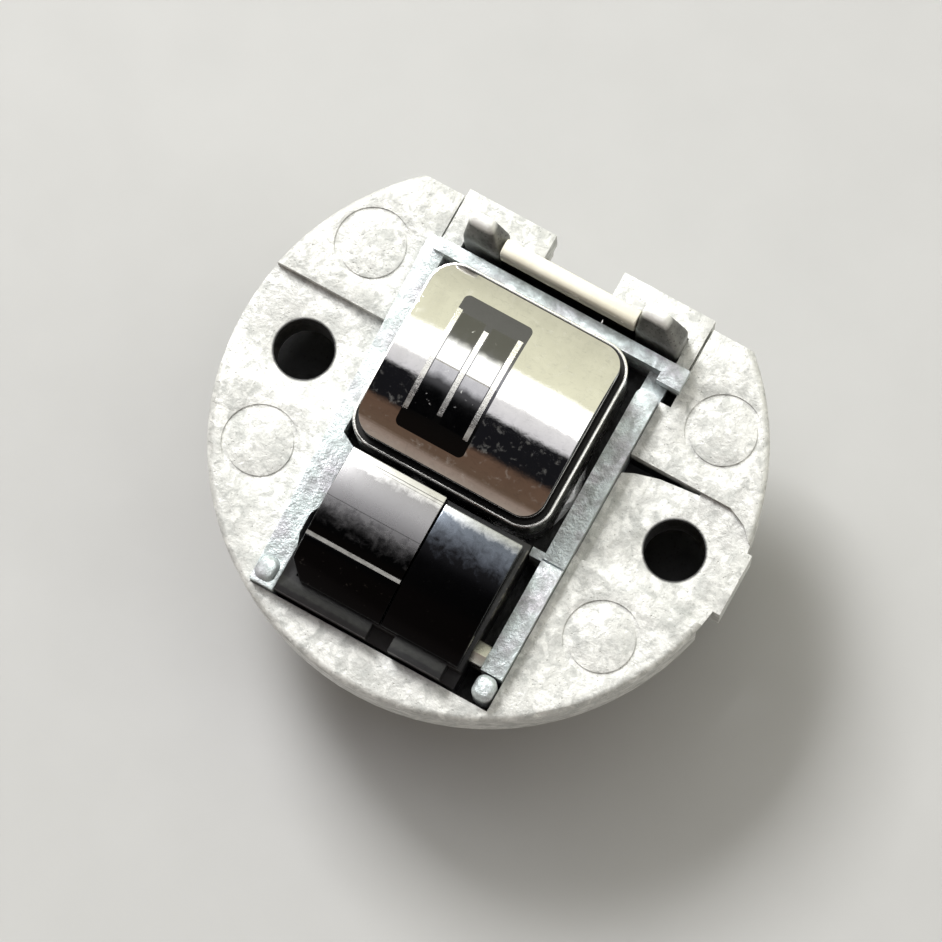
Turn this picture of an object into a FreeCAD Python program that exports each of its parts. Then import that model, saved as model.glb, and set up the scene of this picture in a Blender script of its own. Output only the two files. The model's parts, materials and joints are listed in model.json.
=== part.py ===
"""Rotating tape head block of an auto-reverse cassette deck, in millimetres.

The block stands on its bearing bush.  +Z points out of the head faces towards the tape, the tape runs
along Y and its width lies along X.  The origin is on the turning axis, in the end face of the bush's
spigot.
"""
import FreeCAD
import Part
import math
import os

V = FreeCAD.Vector

# Holder: a round die casting with four faces, two ears, two tabs and a pocket for the heads
HOLDER_R = 7.2
HOLDER_BOTTOM = 4.2
FACE_Z = 6.0
POCKET_FLOOR_Z = 4.8
PIT_FLOOR_Z = 4.5
HOLDER_TOP_Y = 5.32
HOLDER_RIM_ROUND = 0.18
POCKET_TOP_Y = 4.0
GUIDE_WELL_X = (-3.07, 3.24)
GUIDE_WELL_Y = 4.35
POCKET_BOTTOM_Y = -6.08
EAR_EDGE_Y = 1.48
EAR_LOW_Y = -1.5
EAR_LEFT_DROP = 0.3
EAR_RIGHT_DROP = 0.16
EAR_RIGHT_X = 7.32
SCREW_R = 0.79
SCREW_HALF = 5.43
SCREW_MID = (0.09, -0.15)
TAB_TOP_Y = 5.53
TAB_LEFT = (-3.6, -1.05)
TAB_RIGHT = (0.95, 3.6)
TAB_BOTTOM = 4.9
TAB_RISE = 0.08
SEAM_W = 0.06
MARK_R = 1.0
MARK_GROOVE_W = 0.13
MARK_GROOVE = 0.04
MARK_CENTRES = ((-5.1, 3.05), (5.15, 3.1), (-5.1, -2.85), (5.0, -3.05))

# Frame round the heads
FRAME_Z = FACE_Z + 0.4
BAND_Z = FACE_Z + 0.6
WALL_RIGHT = (2.73, 3.34)
WALL_RIGHT_TOP_Y = 3.06
WALL_END_Y = -5.25
BAND_Y = (3.62, 3.98)
BAND_RIGHT_X = 3.7
RIVET_R = 0.22
RIVET_Y = (-5.95, -5.29)
RIVET_SPANS = ((-3.54, -2.98), (2.76, 3.32))

# Record and playback head
CAN_X = (-3.08, 2.22)
CAN_Y = (-1.53, 3.4)
CAN_CORNER_R = 0.6
CAN_BASE = POCKET_FLOOR_Z + 0.05
CAN_WALL = 0.22
CAN_FRONT = 0.4
CAN_APEX = FACE_Z + 2.2
CAN_FACE_R = 5.2
BOND_WALL = 0.11
BOND_TOP = FACE_Z + 0.95
SHIELD_WALL = 0.09
SHIELD_TOP = FACE_Z + 1.0
WINDOW_X = -1.13
WINDOW_W = 1.96
STACK_X = -1.17
WINDOW_L = 3.8
WINDOW_CORNER_R = 0.16
GAP_Y = 0.9
CHANNEL_PITCH = 0.87
STRIP_W = 0.14
STRIP_L = 2.9
CENTRE_STRIP_L = 2.45
CORE_W = 0.68
CORE_L = 1.4
CORE_LEG = 0.42
CORE_NECK_W = 0.3
CORE_BACK = 5.3
CORE_BACK_TOP = 5.7
CORE_POLE_BOTTOM = 7.35
GAP_SHIM = 0.04
BOARD_T = 0.25
PIN_R = 0.15

# Erase head
ERASE_X = (-2.84, 2.34)
ERASE_Y = (-6.0, -1.9)
ERASE_SPLIT_X = -0.03
ERASE_CASE_TOP = FACE_Z + 0.62
ERASE_APEX = FACE_Z + 1.6
ERASE_FACE_R = 5.2
ERASE_TOP_Y = -2.95
ERASE_GAP_Y = -4.41
ERASE_GAP = 0.1
POLE_INSET = 0.1
LIP_Y = -5.55
LIP_CHAMFER = 0.42
ERASE_CORE_X = -1.45

# Tape guide: a slot for 3.81 mm tape between two lugs
SLOT_HALF = 1.95
BAR_Y = (4.16, 4.63)
BAR_TOP = FACE_Z + 1.5
BAR_BOTTOM = FACE_Z + 0.7
LUG_Y = (4.14, 4.8)
LUG_SHOULDER = FACE_Z + 1.1
LUG_TOP = FACE_Z + 2.0
LUG_TIP_Y = (4.5, 4.78)
LUG_BOTTOM = FACE_Z - 0.8
GUIDE_BASE_Y = (4.2, 4.56)
GUIDE_BASE_TOP = FACE_Z + 0.65
GUIDE_BASE_FOOT = FACE_Z + TAB_RISE + 0.02
LUG_LEFT_X = (-3.05, -SLOT_HALF)
LUG_RIGHT_X = (SLOT_HALF, 3.22)
LUG_LEFT_TIP = (-3.0, -2.4)
LUG_RIGHT_TIP = (2.0, 2.62)

# Turning joint
SLEEVE_R = 2.6
SLEEVE_BORE_R = 2.1
SLEEVE_BOTTOM = 0.2
SLEEVE_TOP = 4.45
RUNNING_GAP = 0.03
SPIGOT_R = 3.9
SPIGOT_L = 0.9
STOP_PLATE_R = 4.9
BRIDGE_X = 6.75
BRIDGE_HALF_Y = 1.4
PAD_X = 4.6
PAD_TOP = 3.0
PLATE_SEAT_R = 4.1
FLANGE_BOTTOM = 1.4
BUSH_FLANGE_R = 4.4
BUSH_TOP = 2.0
RING_R = 3.3
RING_GROOVE_R = 2.35
RING_BOTTOM = 0.32
RING_T = 0.2
COUNTERBORE_R = 3.5
COUNTERBORE_L = 0.6
WASHER_R = 3.0
WASHER_T = 0.2
GEAR_BOTTOM = 3.1
GEAR_MODULE = 0.3
GEAR_TEETH = 28
STOP_R = (3.15, 3.75)
STOP_TOP = 2.95
STOP_WIDE_DEG = 150.0
STOP_LUG_DEG = 29.0
STOP_MID_DEG = 90.0


def box(x, y, z):
    """Block between pairs of limits along each axis."""
    return Part.makeBox(x[1] - x[0], y[1] - y[0], z[1] - z[0], V(x[0], y[0], z[0]))


def cyl(r, z, x=0.0, y=0.0):
    """Upright cylinder between two heights."""
    return Part.makeCylinder(r, z[1] - z[0], V(x, y, z[0]))


def tube(r_out, r_in, z):
    """Upright ring about the turning axis."""
    return cyl(r_out, z).cut(cyl(r_in, z))


def prism(points, z):
    """Upright prism over a polygon of (x, y) points."""
    wire = Part.makePolygon([V(x, y, z[0]) for x, y in points + points[:1]])
    return Part.Face(wire).extrude(V(0, 0, z[1] - z[0]))


def side_prism(points, x):
    """Prism along X over a polygon of (y, z) points."""
    wire = Part.makePolygon([V(x[0], y, z) for y, z in points + points[:1]])
    return Part.Face(wire).extrude(V(x[1] - x[0], 0, 0))


def rounded_box(x, y, z, r):
    """Block with its upright edges rounded."""
    block = box(x, y, z)
    upright = [e for e in block.Edges if abs(e.Vertexes[0].Z - e.Vertexes[1].Z) > 1e-6]
    return block.makeFillet(r, upright)


def sector(r_in, r_out, z, mid_deg, wide_deg):
    """Part of a ring, centred on an angle."""
    ring = Part.makeCylinder(r_out, z[1] - z[0], V(0, 0, z[0]), V(0, 0, 1), wide_deg)
    ring = ring.cut(cyl(r_in, z))
    ring.rotate(V(0, 0, 0), V(0, 0, 1), mid_deg - wide_deg / 2)
    return ring


def lying_cyl(r, x, y, z):
    """Cylinder along X."""
    return Part.makeCylinder(r, x[1] - x[0], V(x[0], y, z), V(1, 0, 0))


def fuse(shapes):
    """One solid from touching shapes, with seams removed."""
    whole = shapes[0].multiFuse(shapes[1:])
    return whole.removeSplitter()


def save(node, shape):
    """Write one node; a node may hold several separate solids."""
    shape.exportStep(os.path.join("parts", node + ".step"))


def head_lap():
    """Volume under the record head's lapped face."""
    return lying_cyl(CAN_FACE_R, (-5, 5), GAP_Y, CAN_APEX - CAN_FACE_R)


def erase_lap():
    """Volume under the erase head's lapped face."""
    return lying_cyl(ERASE_FACE_R, (-5, 5), ERASE_TOP_Y, ERASE_APEX - ERASE_FACE_R)


def pocket_outline():
    """Outline of the holder's pocket; its left side leans with the frame."""
    return [
        (-3.92, POCKET_TOP_Y),
        (-3.55, POCKET_BOTTOM_Y),
        (WALL_RIGHT[1] + 0.02, POCKET_BOTTOM_Y),
        (WALL_RIGHT[1] + 0.02, POCKET_TOP_Y),
    ]


def holder_blank():
    """Round plate with a flat top side, a rounded rim, two tabs and the right ear's straight end."""
    disc = cyl(HOLDER_R, (HOLDER_BOTTOM, FACE_Z))
    rim = [e for e in disc.Edges if abs(e.BoundBox.ZMin - FACE_Z) < 1e-6 and e.BoundBox.ZLength < 1e-6]
    disc = disc.makeFillet(HOLDER_RIM_ROUND, rim)
    disc = disc.cut(box((-8, 8), (HOLDER_TOP_Y, 8), (HOLDER_BOTTOM - 1, FACE_Z + 1)))
    tabs = [box(x, (3.9, TAB_TOP_Y), (TAB_BOTTOM, FACE_Z + TAB_RISE)) for x in (TAB_LEFT, TAB_RIGHT)]
    ear_end = box((6.0, EAR_RIGHT_X), (-1.05, 0.68), (HOLDER_BOTTOM, FACE_Z))
    return fuse([disc] + tabs + [ear_end])


def screw_columns():
    return [SCREW_MID[0] + side * SCREW_HALF for side in (-1, 1)]


def ear_cuts():
    """Volumes that lower both ears, and the deep wedge beside the right one."""
    high = FACE_Z + 1
    left = box((-8, -3.8), (EAR_LOW_Y, EAR_EDGE_Y), (FACE_Z - EAR_LEFT_DROP, high))
    right_outline = [
        (3.3, EAR_EDGE_Y),
        (6.25, EAR_EDGE_Y),
        (6.75, 1.25),
        (7.06, 0.93),
        (8.0, 0.55),
        (8.0, EAR_LOW_Y),
        (3.3, EAR_LOW_Y),
    ]
    right = prism(right_outline, (FACE_Z - EAR_RIGHT_DROP, high))
    wedge = [(3.3, 0.93), (3.66, 1.1), (4.3, 1.28), (5.4, 1.4), (5.4, EAR_EDGE_Y), (3.3, EAR_EDGE_Y)]
    pit = prism(wedge, (PIT_FLOOR_Z, high))
    corner = prism([(7.09, -1.04), (6.6, -1.51), (6.6, -1.7), (8, -1.7), (8, -1.04)], (3, FACE_Z - 0.3))
    return [left, right, pit, corner]


def underside_cuts():
    """Core-outs below the holder, which leave a rim, ribs and a boss round each screw hole."""
    ring = tube(6.6, 4.9, (HOLDER_BOTTOM - 1, HOLDER_BOTTOM + 0.35))
    keep = [cyl(1.35, (HOLDER_BOTTOM - 1, FACE_Z), x, SCREW_MID[1]) for x in screw_columns()]
    for angle in (45, 90, 135):
        rib = box((-8, 8), (-0.3, 0.3), (HOLDER_BOTTOM - 1, FACE_Z))
        rib.rotate(V(0, 0, 0), V(0, 0, 1), angle)
        keep.append(rib)
    return ring.cut(keep[0].multiFuse(keep[1:]))


def rotary_holder():
    body = holder_blank()
    cuts = [prism(pocket_outline(), (POCKET_FLOOR_Z, FACE_Z + 1))]
    cuts.append(box(GUIDE_WELL_X, (3.9, GUIDE_WELL_Y), (POCKET_FLOOR_Z, FACE_Z + 1)))
    cuts.append(box((TAB_LEFT[1], TAB_RIGHT[0]), (4.3, 8), (HOLDER_BOTTOM - 1, FACE_Z + 1)))
    cuts.append(box((3.3, 3.66), (3.02, 3.46), (POCKET_FLOOR_Z, FACE_Z + 1)))
    for x in (LUG_LEFT_X, LUG_RIGHT_X):
        cuts.append(box(x, (4.2, LUG_Y[1]), (LUG_BOTTOM, FACE_Z + 1)))
    cuts += ear_cuts()
    cuts.append(underside_cuts())
    cuts.append(cyl(SLEEVE_R, (HOLDER_BOTTOM - 1, FACE_Z)))
    cuts.append(box((-0.9, 0.9), (-4.6, 0), (HOLDER_BOTTOM + 0.25, FACE_Z)))
    for x in screw_columns():
        cuts.append(cyl(SCREW_R, (HOLDER_BOTTOM - 1, FACE_Z + 1), x, SCREW_MID[1]))
    for x, y in MARK_CENTRES:
        groove = cyl(MARK_R, (FACE_Z - MARK_GROOVE, FACE_Z + 1), x, y)
        cuts.append(groove.cut(cyl(MARK_R - MARK_GROOVE_W, (FACE_Z - 1, FACE_Z + 2), x, y)))
    for x in (TAB_LEFT[0] - SEAM_W, TAB_RIGHT[1]):
        cuts.append(box((x, x + SEAM_W), (3.9, 6), (FACE_Z - 0.25, FACE_Z + 1)))
    for cut in cuts:
        body = body.cut(cut)
    return body.removeSplitter()


def head_frame():
    """U-shaped frame: two long walls, a wide band across the top and a short rib between the heads."""
    low = POCKET_FLOOR_Z
    inner = CAN_X[0] - BOND_WALL - SHIELD_WALL - 0.02
    beside = ERASE_X[0] - 0.04
    left = prism([(-3.9, BAND_Y[1]), (inner, BAND_Y[1]), (inner, -1.62), (beside, ERASE_Y[1] + 0.05),
                  (beside, -3.6), (beside - 0.12, -3.85), (beside - 0.12, -4.4), (beside, -4.75),
                  (beside, -6.05), (-3.55, -6.05), (-3.57, WALL_END_Y)], (low, FRAME_Z))
    right = box(WALL_RIGHT, (WALL_END_Y, WALL_RIGHT_TOP_Y), (low, FRAME_Z))
    upright = [e for e in right.Edges if abs(e.Vertexes[0].Z - e.Vertexes[1].Z) > 1e-6]
    right = right.makeFillet(0.2, [e for e in upright if e.Vertexes[0].Y > 0])
    band = box((-3.6, WALL_RIGHT[1]), BAND_Y, (low, BAND_Z))
    band_end = box((WALL_RIGHT[1] - 0.3, BAND_RIGHT_X), (BAND_Y[0] - 0.24, BAND_Y[1]),
                   (FACE_Z + 0.1, BAND_Z))
    link = box(WALL_RIGHT, (2.8, BAND_Y[1]), (low, FACE_Z - 0.2))
    rib = box((ERASE_X[1] + 0.03, WALL_RIGHT[0] + 0.1), (-2.1, -1.86), (low, FRAME_Z - 0.05))
    frame = fuse([left, right, band, band_end, link, rib])
    joint = box((WALL_RIGHT[0] - 1e-3, WALL_RIGHT[1] + 1e-3), (-2.07, -2.02), (FRAME_Z - 0.12, FRAME_Z + 1))
    return frame.cut(joint).cut(frame_rivets())


def frame_rivets():
    """Two rounded rivet heads at the lower ends of the frame's walls."""
    solids = []
    for x in RIVET_SPANS:
        rivet = rounded_box(x, RIVET_Y, (POCKET_FLOOR_Z, FRAME_Z + 0.12), RIVET_R)
        top = [e for e in rivet.Edges if e.BoundBox.ZMin > FRAME_Z]
        solids.append(rivet.makeChamfer(0.1, top))
    return Part.makeCompound(solids)


def window(grow, z):
    """Prism of the head can's window."""
    half_w = WINDOW_W / 2 + grow
    half_l = WINDOW_L / 2 + grow
    return rounded_box((WINDOW_X - half_w, WINDOW_X + half_w), (GAP_Y - half_l, GAP_Y + half_l), z,
                       WINDOW_CORNER_R)


def head_can():
    """Lapped can, open at the back, with the window through its front wall."""
    outside = can_outline(0, (CAN_BASE, CAN_APEX + 0.5)).common(head_lap())
    inner_x = (CAN_X[0] + CAN_WALL, CAN_X[1] - CAN_WALL)
    inner_y = (CAN_Y[0] + CAN_WALL, CAN_Y[1] - CAN_WALL)
    inside = rounded_box(inner_x, inner_y, (CAN_BASE - 1, CAN_APEX + 0.5), CAN_CORNER_R - CAN_WALL)
    lower_lap = lying_cyl(CAN_FACE_R, (-5, 5), GAP_Y, CAN_APEX - CAN_FRONT - CAN_FACE_R)
    return outside.cut(inside.common(lower_lap)).cut(window(0.0, (6.5, CAN_APEX + 1)))


def can_outline(grow, z):
    """Rounded block as large as the can, grown by a wall all round."""
    x = (CAN_X[0] - grow, CAN_X[1] + grow)
    y = (CAN_Y[0] - grow, CAN_Y[1] + grow)
    return rounded_box(x, y, z, CAN_CORNER_R + grow)


def head_bond():
    """Thin dark bond line between the can and the outer shield."""
    return can_outline(BOND_WALL, (CAN_BASE, BOND_TOP)).cut(can_outline(0, (CAN_BASE - 1, BOND_TOP + 1)))


def head_outer_shield():
    """Thin sleeve round the can, whose edge shows as a ring."""
    sleeve = can_outline(BOND_WALL + SHIELD_WALL, (CAN_BASE, SHIELD_TOP))
    return sleeve.cut(can_outline(BOND_WALL, (CAN_BASE - 1, SHIELD_TOP + 1)))


def strip(offset, length, z_low):
    """Shield strip that reaches the lapped face."""
    x = STACK_X + offset
    blank = box((x - STRIP_W / 2, x + STRIP_W / 2), (GAP_Y - length / 2, GAP_Y + length / 2),
                (z_low, CAN_APEX + 0.5))
    return blank.common(head_lap())


def core_half(channel, side):
    """One half of a channel's core: pole piece, narrow leg for the coil, and back piece."""
    x = STACK_X + channel * CHANNEL_PITCH / 2
    near = GAP_Y + side * GAP_SHIM / 2
    far = GAP_Y + side * CORE_L
    leg_in = far - side * CORE_LEG
    full = (x - CORE_W / 2, x + CORE_W / 2)
    neck = (x - CORE_NECK_W / 2, x + CORE_NECK_W / 2)
    pole = box(full, sorted((near, far)), (CORE_POLE_BOTTOM, CAN_APEX + 0.5)).common(head_lap())
    leg = box(neck, sorted((leg_in, far)), (CORE_BACK, CORE_POLE_BOTTOM))
    back = box(full, sorted((near, far)), (CORE_BACK, CORE_BACK_TOP))
    return fuse([pole, leg, back])


def channel_coils(channel):
    """Two windings of one channel, one on each core half's leg."""
    x = STACK_X + channel * CHANNEL_PITCH / 2
    solids = []
    for side in (-1, 1):
        far = GAP_Y + side * CORE_L
        leg = sorted((far, far - side * CORE_LEG))
        z = (CORE_BACK_TOP + 0.1, CORE_POLE_BOTTOM - 0.1)
        outer = box((x - 0.29, x + 0.29), (leg[0] - 0.16, leg[1] + 0.16), z)
        hole = box((x - CORE_NECK_W / 2, x + CORE_NECK_W / 2), leg, (z[0] - 1, z[1] + 1))
        solids.append(outer.cut(hole))
    return Part.makeCompound(solids)


def gap_shims():
    """The two channels' front gap shims."""
    solids = []
    for channel in (-1, 1):
        x = STACK_X + channel * CHANNEL_PITCH / 2
        shim = box((x - CORE_W / 2, x + CORE_W / 2), (GAP_Y - GAP_SHIM / 2, GAP_Y + GAP_SHIM / 2),
                   (CORE_POLE_BOTTOM, CAN_APEX + 0.5))
        solids.append(shim.common(head_lap()))
    return Part.makeCompound(solids)


def window_resin():
    """Potting that fills the window round the cores and shields."""
    low = CORE_POLE_BOTTOM
    block = window(0.0, (low, CAN_APEX + 0.5)).common(head_lap())
    high = CAN_APEX + 1
    for channel in (-1, 1):
        x = STACK_X + channel * CHANNEL_PITCH / 2
        slot = box((x - CORE_W / 2, x + CORE_W / 2), (GAP_Y - CORE_L, GAP_Y + CORE_L), (low - 1, high))
        block = block.cut(slot)
    for offset, length in ((0, CENTRE_STRIP_L), (-CHANNEL_PITCH, STRIP_L), (CHANNEL_PITCH, STRIP_L)):
        x = STACK_X + offset
        block = block.cut(box((x - STRIP_W / 2, x + STRIP_W / 2),
                              (GAP_Y - length / 2, GAP_Y + length / 2), (low - 1, high)))
    return block


def head_terminal_board():
    """Board that closes the back of the can."""
    x = (CAN_X[0] + CAN_WALL, CAN_X[1] - CAN_WALL)
    y = (CAN_Y[0] + CAN_WALL, CAN_Y[1] - CAN_WALL)
    board = rounded_box(x, y, (CAN_BASE, CAN_BASE + BOARD_T), CAN_CORNER_R - CAN_WALL)
    return board.cut(head_terminal_pins())


def pins(centres, z):
    """A group of round terminal pins."""
    return Part.makeCompound([cyl(PIN_R, z, x, y) for x, y in centres])


def head_terminal_pins():
    """Two rows of pins: a pair for each channel and a pair for the ground."""
    centres = [(-0.9 + column, 0.5 + row) for column in (0, 0.6, 1.2) for row in (0, 0.8)]
    return pins(centres, (CAN_BASE - 0.5, CAN_BASE + 0.4))


def erase_terminal_pins():
    return pins([(-0.5, -3.9), (0.5, -3.9)], (CAN_BASE - 0.3, CAN_BASE + 0.25))


def erase_case():
    """Moulded case with a chamber for the coil and a lip below the poles."""
    case = box(ERASE_X, ERASE_Y, (CAN_BASE, ERASE_CASE_TOP))
    chamber = box((-2.5, -0.3), (-5.45, -2.4), (CAN_BASE + 0.25, ERASE_CASE_TOP + 1))
    low_lips = box((-0.2, 0.45), (-7, LIP_Y - 0.02), (FACE_Z, FACE_Z + 2))
    low_end = box((1.95, 3), (-7, LIP_Y - 0.02), (FACE_Z, FACE_Z + 2))
    return case.cut(chamber).cut(low_lips).cut(low_end).cut(erase_terminal_pins())


def erase_pole(y):
    """Polished ferrite pole over a span of the face, with its leg down to the back core."""
    pole = box((ERASE_X[0] + POLE_INSET, ERASE_SPLIT_X), y, (ERASE_CASE_TOP, ERASE_APEX + 0.5))
    return pole.common(erase_lap())


def erase_core(side):
    """One half of the erase core: a pole and a leg."""
    gap = ERASE_GAP_Y + side * ERASE_GAP / 2
    edge = LIP_Y if side < 0 else ERASE_Y[1] - 0.06
    pole = erase_pole(sorted((gap, edge)))
    leg_y = sorted((ERASE_GAP_Y + side * 0.55, ERASE_GAP_Y + side * 0.95))
    leg = box((ERASE_CORE_X - 0.4, ERASE_CORE_X + 0.4), leg_y, (5.55, ERASE_CASE_TOP))
    left = ERASE_X[0] + POLE_INSET
    corner = [(left, LIP_Y), (left + LIP_CHAMFER, LIP_Y), (left, LIP_Y + LIP_CHAMFER)]
    return fuse([pole, leg]).cut(prism(corner, (FACE_Z, ERASE_APEX)))


def erase_back_core():
    y = (ERASE_GAP_Y - 0.95, ERASE_GAP_Y + 0.95)
    return box((ERASE_CORE_X - 0.4, ERASE_CORE_X + 0.4), y, (5.2, 5.55))


def erase_coil():
    """Winding on the erase head's front leg."""
    mid = ERASE_GAP_Y + 0.75
    z = (5.72, ERASE_CASE_TOP - 0.14)
    outer = rounded_box((ERASE_CORE_X - 0.85, ERASE_CORE_X + 0.85), (mid - 0.5, mid + 0.6), z, 0.15)
    return outer.cut(box((ERASE_CORE_X - 0.45, ERASE_CORE_X + 0.45), (mid - 0.25, mid + 0.25), (5, 7)))


def erase_bobbin():
    """Thin flanged former between the leg and the winding."""
    mid = ERASE_GAP_Y + 0.75
    core = box((ERASE_CORE_X - 0.45, ERASE_CORE_X + 0.45), (mid - 0.25, mid + 0.25),
               (5.62, ERASE_CASE_TOP - 0.04))
    flanges = []
    for low in (5.62, ERASE_CASE_TOP - 0.14):
        flange = box((ERASE_CORE_X - 0.9, ERASE_CORE_X + 0.9), (mid - 0.53, mid + 0.66), (low, low + 0.1))
        flanges.append(flange)
    body = fuse([core] + flanges)
    return body.cut(box((ERASE_CORE_X - 0.4, ERASE_CORE_X + 0.4), (mid - 0.2, mid + 0.2), (5, 7)))


def erase_gap_spacer():
    return erase_pole((ERASE_GAP_Y - ERASE_GAP / 2, ERASE_GAP_Y + ERASE_GAP / 2))


def erase_dummy_block():
    """Plain black half that only supports the tape."""
    block = box((ERASE_SPLIT_X + 0.03, ERASE_X[1] - POLE_INSET), (LIP_Y, ERASE_Y[1] - 0.2),
                (ERASE_CASE_TOP, ERASE_APEX + 0.5))
    lower = lying_cyl(ERASE_FACE_R - 0.04, (-5, 5), ERASE_TOP_Y, ERASE_APEX - ERASE_FACE_R)
    return block.common(lower)


def erase_clip():
    """Small leaf that wedges the erase head against the frame."""
    return side_prism([(-5.2, 5.2), (-5.2, 6.35), (-4.95, 6.6), (-4.6, 6.35), (-4.6, 5.2)],
                      (ERASE_X[1], WALL_RIGHT[0]))


def guide_lug(base_x, tip_x):
    """Tape guide lug: a base block and a tip that narrows to a small flat."""
    base = box(base_x, LUG_Y, (LUG_BOTTOM, LUG_SHOULDER))
    wires = []
    for x, y, z in ((base_x, LUG_Y, LUG_SHOULDER), (tip_x, LUG_TIP_Y, LUG_TOP)):
        corners = [V(x[0], y[0], z), V(x[1], y[0], z), V(x[1], y[1], z), V(x[0], y[1], z)]
        wires.append(Part.makePolygon(corners + corners[:1]))
    tip = Part.makeLoft(wires, True, True)
    return fuse([base, tip])


def tape_guide_bar():
    """Round-topped bar at the foot of the tape slot."""
    block = box((-SLOT_HALF, SLOT_HALF), BAR_Y, (BAR_BOTTOM, BAR_TOP))
    top = [e for e in block.Edges if abs(e.BoundBox.ZMin - BAR_TOP) < 1e-6 and e.BoundBox.XLength > 1]
    return block.makeFillet(0.2, top)


def guide_base():
    """Strip between the lugs, under the bar, with a tongue down between the holder's tabs."""
    strip_part = box((-SLOT_HALF, SLOT_HALF), GUIDE_BASE_Y, (GUIDE_BASE_FOOT, GUIDE_BASE_TOP))
    tongue = box((TAB_LEFT[1] + 0.02, TAB_RIGHT[0] - 0.02), GUIDE_BASE_Y, (TAB_BOTTOM, GUIDE_BASE_TOP))
    return fuse([strip_part, tongue])


def pivot_sleeve():
    """Hollow shaft that the block turns on; the head wires leave through it."""
    sleeve = tube(SLEEVE_R, SLEEVE_BORE_R, (SLEEVE_BOTTOM, SLEEVE_TOP))
    groove = tube(SLEEVE_R + 1, RING_GROOVE_R, (RING_BOTTOM, RING_BOTTOM + RING_T))
    return sleeve.cut(groove)


def retaining_ring():
    ring = tube(RING_R, RING_GROOVE_R, (RING_BOTTOM, RING_BOTTOM + RING_T))
    return ring.cut(box((-1.3, 1.3), (0, RING_R + 1), (0, 1)))


def bearing_bush():
    """Fixed bush: spigot for the chassis, flange, bore and the raised rim that stops the turn."""
    bush = fuse([cyl(SPIGOT_R, (0, SPIGOT_L)), cyl(PLATE_SEAT_R, (SPIGOT_L, FLANGE_BOTTOM)),
                 cyl(BUSH_FLANGE_R, (FLANGE_BOTTOM, BUSH_TOP)),
                 sector(STOP_R[0], STOP_R[1], (BUSH_TOP - 0.1, STOP_TOP), STOP_MID_DEG, STOP_WIDE_DEG)])
    bush = bush.cut(cyl(SLEEVE_R + RUNNING_GAP, (-1, 4)))
    return bush.cut(cyl(COUNTERBORE_R, (-1, COUNTERBORE_L)))


def stop_plate():
    """Fixed bridge under the bush's flange; screws in the holder's ears come to rest on its two pads."""
    solids = [cyl(STOP_PLATE_R, (SPIGOT_L, FLANGE_BOTTOM))]
    arm = rounded_box((-BRIDGE_X, BRIDGE_X), (-BRIDGE_HALF_Y, BRIDGE_HALF_Y), (SPIGOT_L, FLANGE_BOTTOM), 0.6)
    solids.append(arm)
    for x in ((-BRIDGE_X, -PAD_X), (PAD_X, BRIDGE_X)):
        solids.append(rounded_box(x, (-BRIDGE_HALF_Y, BRIDGE_HALF_Y), (SPIGOT_L, PAD_TOP), 0.6))
    return fuse(solids).cut(cyl(PLATE_SEAT_R, (0, PAD_TOP)))


def thrust_washer():
    return tube(WASHER_R, SLEEVE_R + 2 * RUNNING_GAP, (BUSH_TOP, BUSH_TOP + WASHER_T))


def reverse_gear():
    """Spur gear on the sleeve, with the hub and the stop lug under it."""
    pitch = GEAR_MODULE * GEAR_TEETH / 2
    tip = pitch + GEAR_MODULE
    root = pitch - 1.25 * GEAR_MODULE
    z = (GEAR_BOTTOM, HOLDER_BOTTOM)
    tooth_deg = 180.0 / GEAR_TEETH
    points = []
    for tooth in range(GEAR_TEETH):
        centre = 360.0 * tooth / GEAR_TEETH
        flank = ((root, -0.68), (pitch, -0.48), (tip, -0.24), (tip, 0.24), (pitch, 0.48), (root, 0.68))
        for radius, turn in flank:
            angle = math.radians(centre + turn * tooth_deg)
            points.append((radius * math.cos(angle), radius * math.sin(angle)))
    wheel = prism(points, z)
    hub = cyl(WASHER_R, (BUSH_TOP + WASHER_T + 0.05, GEAR_BOTTOM))
    lug = sector(STOP_R[0] - 0.3, STOP_R[1] - 0.03, (BUSH_TOP + 0.15, GEAR_BOTTOM), 0.0, STOP_LUG_DEG)
    lug.rotate(V(0, 0, 0), V(0, 0, 1), STOP_MID_DEG + STOP_WIDE_DEG / 2 + STOP_LUG_DEG / 2 + 0.5)
    lug = lug.cut(cyl(WASHER_R + 0.1, (0, BUSH_TOP + WASHER_T + 0.05)))
    return fuse([wheel, hub, lug]).cut(cyl(SLEEVE_R, (0, 5)))


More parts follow.
